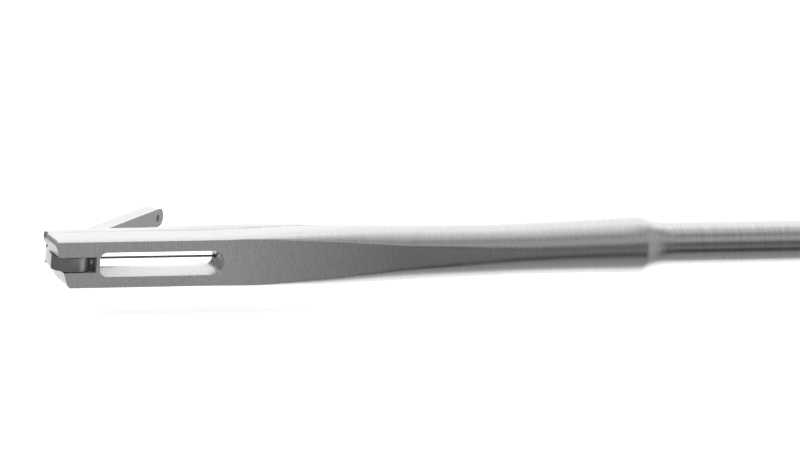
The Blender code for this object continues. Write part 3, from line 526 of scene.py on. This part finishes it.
def make_arm(steel):
    inner = SEAM_Y + 0.1 * MM
    outer = inner + 2.0 * MM
    half = 1.08 * MM
    middle = BAR_Z - 0.1 * MM
    end = PIVOT.x + 28.4 * MM
    profile = [(PIVOT.x + 2.0 * MM, middle - half)]
    profile += arc((end - half, middle), half, -90, 90, 32)
    profile += [(PIVOT.x + 2.0 * MM, middle + half)]
    arm = extruded_outline("anvil_bar", profile, inner, outer)
    for number in range(2):
        groove = bar(
            "groove",
            (PIVOT.x + 5.6 * MM, inner - 0.4 * MM, BAR_Z + (number - 0.5) * 1.1 * MM - 0.18 * MM),
            (PIVOT.x + 15.6 * MM, inner + 0.22 * MM, BAR_Z + (number - 0.5) * 1.1 * MM + 0.18 * MM),
        )
        combine(arm, groove)
    dimple = drilled("dimple", (end - 1.5 * MM, inner, middle), 0.42 * MM, 0.5 * MM, (math.pi / 2, 0, 0), 32)
    combine(arm, dimple)
    tongue = NECK_HEIGHT / 2 - 0.1 * MM
    hub = arc((PIVOT.x, PIVOT.y), 2.3 * MM, 137.6, 409.3, 56)
    hub += [
        (PIVOT.x + 1.5 * MM, inner + 0.03 * MM),
        (PIVOT.x + 3.2 * MM, inner + 0.03 * MM),
        (PIVOT.x + 3.2 * MM, outer - 0.03 * MM),
        (PIVOT.x + 1.9 * MM, outer - 0.03 * MM),
    ]
    combine(arm, extruded_outline("hub", hub, BAR_Z - tongue, BAR_Z + tongue, "Z"), "UNION")
    combine(arm, drilled("bore", (PIVOT.x, PIVOT.y, BAR_Z), 0.66 * MM, 6 * MM, sides=48))
    crank = math.pi / 2 - ARM_OPEN / 2
    place = (PIVOT.x + 1.3 * MM * math.cos(crank), PIVOT.y + 1.3 * MM * math.sin(crank), BAR_Z)
    combine(arm, drilled("crank_hole", place, 0.37 * MM, 6 * MM, sides=32))
    soften(arm, 0.12 * MM, 3, 35)
    weighted(arm)
    swing_open(arm)
    return mount(arm, "arm", steel, "satin_steel", "anvil_arm")


# ---------------------------------------------------------------- shaft


def make_shaft(steel):
    start, end = tube_low.x - 0.015 * MM, tube_high.x
    profile = [
        (start, SHAFT_RADIUS - 0.01 * MM),
        (start + 0.01 * MM, SHAFT_RADIUS),
        (end - 0.3 * MM, SHAFT_RADIUS),
        (end, SHAFT_RADIUS - 0.3 * MM),
    ]
    tube = turned("shaft_barrel", profile, sides=128)
    combine(tube, drilled("bore", ((start + end) / 2, 0, AXIS_Z), 1.8 * MM, end - start + 4 * MM, (0, math.pi / 2, 0), 96))
    pick(tube)
    bpy.ops.object.shade_smooth_by_angle(angle=math.radians(30))
    return mount(tube, "shaft", steel, "satin_steel", "shaft_tube")


# ---------------------------------------------------------------- handle


def refined(node, body, finish, slot, width, angle=38, grooves=()):
    """A moulded piece: the plain solid with its points merged, its sharp edges broken and its rounds shaded."""
    pick(frame["nodes"][node])
    bpy.ops.object.duplicate()
    piece = bpy.context.active_object
    piece.name = f"moulded_{node}"
    edit(piece)
    bpy.ops.mesh.select_all(action="SELECT")
    bpy.ops.mesh.remove_doubles(threshold=0.002 * MM)
    bpy.ops.mesh.dissolve_limited(angle_limit=math.radians(1))
    bpy.ops.mesh.normals_make_consistent(inside=False)
    bpy.ops.object.mode_set(mode="OBJECT")
    for groove in grooves:
        combine(piece, groove)
    soften(piece, width, 2, angle)
    weighted(piece)
    return mount(piece, body, finish, slot, node)


def grip_grooves(node, face):
    """Finger grooves across a grip panel's outer face."""
    low, high = (Vector(corner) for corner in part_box(node))
    count, width, depth = 7, 1.3 * MM, 0.45 * MM
    for k in range(count):
        y = low.y + (high.y - low.y) * (k + 1) / (count + 1)
        corner = (low.x - MM, y - width / 2, face - depth)
        yield bar("groove", corner, (high.x + MM, y + width / 2, face + depth))


def make_spring(steel):
    """The return spring: the plain solid refined and given a mesh of its own."""
    slide = next(j for j in frame["joints"] if j["name"] == "rod_slide")
    travel = max(slide["range_m"])
    spring = refined("return_spring", "handle", steel, "spring_steel", 0.01 * MM, angle=80)
    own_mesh(spring)


# ---------------------------------------------------------------- finishes on the solids that stay


def dress_nodes(finishes):
    for names, finish in finishes:
        for name in names:
            node = frame["nodes"][name]
            node.data.materials.clear()
            node.data.materials.append(finish)


# ---------------------------------------------------------------- studio


def set_stage():
    clear_selection()
    bpy.ops.mesh.primitive_plane_add(size=6, location=(0, 0, 0))
    floor = bpy.context.active_object
    floor.name = "studio_floor"
    made, tree, shader = blank_finish("floor_white", (0.93, 0.93, 0.93), 0.9, 0.0)
    cloud = pattern(tree, (6, 6, 6), 2.0)
    tree.links.new(spread(tree, cloud, 0.85, 0.95), shader.inputs["Roughness"])
    shader.inputs["Specular IOR Level"].default_value = 0.0
    shader.inputs["Emission Color"].default_value = (1, 1, 1, 1)
    shader.inputs["Emission Strength"].default_value = 0.4
    floor.data.materials.append(made)
    floor.visible_glossy = False


SKY = (
    (-1.0, 0.48),
    (-0.77, 0.36),
    (-0.44, 0.055),
    (-0.20, 0.24),
    (0.12, 0.12),
    (0.47, 0.50),
    (0.77, 0.32),
    (0.93, 0.80),
    (1.0, 1.45),
)
SKY_PEAK = 1.5
BACKDROP = 1.4
DARK_SIDES = ((-0.08, -0.26, 0.16), (0.62, 0.82, 0.5))


def light_room():
    """A white room for the eye and for matt surfaces, and a graded one for what steel mirrors."""
    world = bpy.data.worlds.new("studio")
    bpy.context.scene.world = world
    world.use_nodes = True
    tree = world.node_tree
    tree.nodes.clear()
    place = tree.nodes.new("ShaderNodeTexCoord")
    split = tree.nodes.new("ShaderNodeSeparateXYZ")
    tree.links.new(place.outputs["Generated"], split.inputs[0])
    height = spread(tree, split.outputs["Z"], 0, 1, -1, 1)
    ramp = tree.nodes.new("ShaderNodeValToRGB")
    ramp.color_ramp.interpolation = "EASE"
    points = ramp.color_ramp.elements
    while len(points) < len(SKY):
        points.new(0.5)
    for point, (z, level) in zip(points, SKY):
        point.position = (z + 1) / 2
        grey = level / SKY_PEAK
        point.color = (grey, grey, grey, 1)
    tree.links.new(height, ramp.inputs["Fac"])
    behind = spread(tree, split.outputs["Y"], 0, 1, -0.05, 0.35)
    mixed = tree.nodes.new("ShaderNodeMix")
    mixed.data_type = "RGBA"
    mixed.inputs[7].default_value = (*[BACKDROP / SKY_PEAK] * 3, 1)
    tree.links.new(behind, mixed.inputs[0])
    tree.links.new(ramp.outputs["Color"], mixed.inputs[6])
    sides = mixed.outputs[2]
    for start, stop, level in DARK_SIDES:
        shaded = tree.nodes.new("ShaderNodeMix")
        shaded.data_type = "RGBA"
        shaded.inputs[7].default_value = (*[level / SKY_PEAK] * 3, 1)
        tree.links.new(spread(tree, split.outputs["X"], 0, 1, start, stop), shaded.inputs[0])
        tree.links.new(sides, shaded.inputs[6])
        sides = shaded.outputs[2]
    mirrored = tree.nodes.new("ShaderNodeBackground")
    mirrored.inputs["Strength"].default_value = SKY_PEAK
    tree.links.new(sides, mirrored.inputs["Color"])
    plain = tree.nodes.new("ShaderNodeBackground")
    plain.inputs["Color"].default_value = (1, 1, 1, 1)
    plain.inputs["Strength"].default_value = 1.3
    path = tree.nodes.new("ShaderNodeLightPath")
    join = tree.nodes.new("ShaderNodeMixShader")
    tree.links.new(path.outputs["Is Glossy Ray"], join.inputs[0])
    tree.links.new(plain.outputs[0], join.inputs[1])
    tree.links.new(mirrored.outputs[0], join.inputs[2])
    out = tree.nodes.new("ShaderNodeOutputWorld")
    tree.links.new(join.outputs[0], out.inputs["Surface"])


def soft_box(name, place, aim, size, power):
    lamp = bpy.data.lights.new(name, "AREA")
    lamp.shape = "RECTANGLE"
    lamp.size, lamp.size_y = size
    lamp.energy = power
    holder = bpy.data.objects.new(name, lamp)
    bpy.context.scene.collection.objects.link(holder)
    holder.location = place
    holder.rotation_euler = (Vector(aim) - Vector(place)).to_track_quat("-Z", "Y").to_euler()
    return holder


# The camera looks across the head from its tip side, with a long lens
VIEW_AZIMUTH = 20.5
VIEW_ELEVATION = 12.5
VIEW_ROLL = 3.67
VIEW_DISTANCE = 0.650
LENS = 253


def set_camera():
    aim = Vector((TIP_X + 42.3 * MM, 0, AXIS_Z + 1.61 * MM))
    turn, rise = math.radians(VIEW_AZIMUTH), math.radians(VIEW_ELEVATION)
    away = Vector((-math.sin(turn) * math.cos(rise), -math.cos(turn) * math.cos(rise), math.sin(rise)))
    lens = bpy.data.cameras.new("camera")
    lens.lens = LENS
    lens.sensor_width = 36
    lens.clip_start = 0.02
    camera = bpy.data.objects.new("camera", lens)
    bpy.context.scene.collection.objects.link(camera)
    look = (-away).to_track_quat("-Z", "Y").to_matrix()
    roll = Matrix.Rotation(math.radians(VIEW_ROLL), 3, "Z")
    camera.matrix_world = Matrix.Translation(aim + away * VIEW_DISTANCE) @ (look @ roll).to_4x4()
    bpy.context.scene.camera = camera
    bpy.context.scene.view_settings.view_transform = "Standard"


STEEL = (0.64, 0.635, 0.625)
clear_selection()
# Painted light: the head is less metallic towards its tip (0.8 there, rising to 1.0 further back), which lightens
# its tip end
PAINTED_LIFT_RUN = (0.8, 1.0, TIP_X + 20 * MM, TIP_X + 42 * MM)
head_steel = brushed_steel("head_steel", STEEL, 0.26, painted_lift=PAINTED_LIFT_RUN)
plate_steel = brushed_steel("plate_steel", STEEL, 0.2)
arm_steel = brushed_steel("arm_steel", STEEL, 0.3)
shaft_steel = brushed_steel("shaft_steel", STEEL, 0.2, grain=(7000, 300, 300))
pin_steel = polished_steel("pin_steel", (0.66, 0.65, 0.64))
# Darker drawn steel; on the drive wire its darkness is also painted shade for the neck slot's gap
drawn_steel_and_shade = brushed_steel("drawn_steel_and_shade", (0.45, 0.45, 0.46), 0.25, grain=(600, 6000, 6000))
red = moulded_plastic("red_moulding", (0.3, 0.011, 0.01), 0.34)
black = moulded_plastic("black_moulding", (0.028, 0.028, 0.03), 0.45)
rubber = pebbled_rubber("black_rubber", (0.018, 0.018, 0.02))

make_head(head_steel)
make_back_plate(plate_steel)
make_arm(arm_steel)
make_shaft(shaft_steel)

for side, face in (("lower", 0.0), ("upper", 2 * AXIS_Z)):
    refined(f"handle_shell_{side}", "handle", red, "red_plastic", 0.25 * MM)
    panel = f"grip_panel_{side}"
    refined(panel, "handle", rubber, "soft_grip", 0.15 * MM, grooves=grip_grooves(panel, face))
refined("rotation_knob", "shaft", red, "red_plastic", 0.25 * MM)
refined("trigger", "trigger", black, "dark_plastic", 0.15 * MM)
refined("trigger_pad", "trigger", rubber, "soft_grip", 0.1 * MM)

make_spring(drawn_steel_and_shade)

screws = [n for n in frame["nodes"] if "screw" in n or "washer" in n or "pin" in n]
dress_nodes((
    (screws, pin_steel),
    (("rod_spool", "shaft_collar", "head_spigot"), pin_steel),
    # The drive wire takes the darker drawn steel: partly a drawn-wire finish, partly painted shade so that it
    # reads dark in the neck slot's gap
    (("pull_rod", "drive_wire"), drawn_steel_and_shade),
))

set_stage()
light_room()
set_camera()
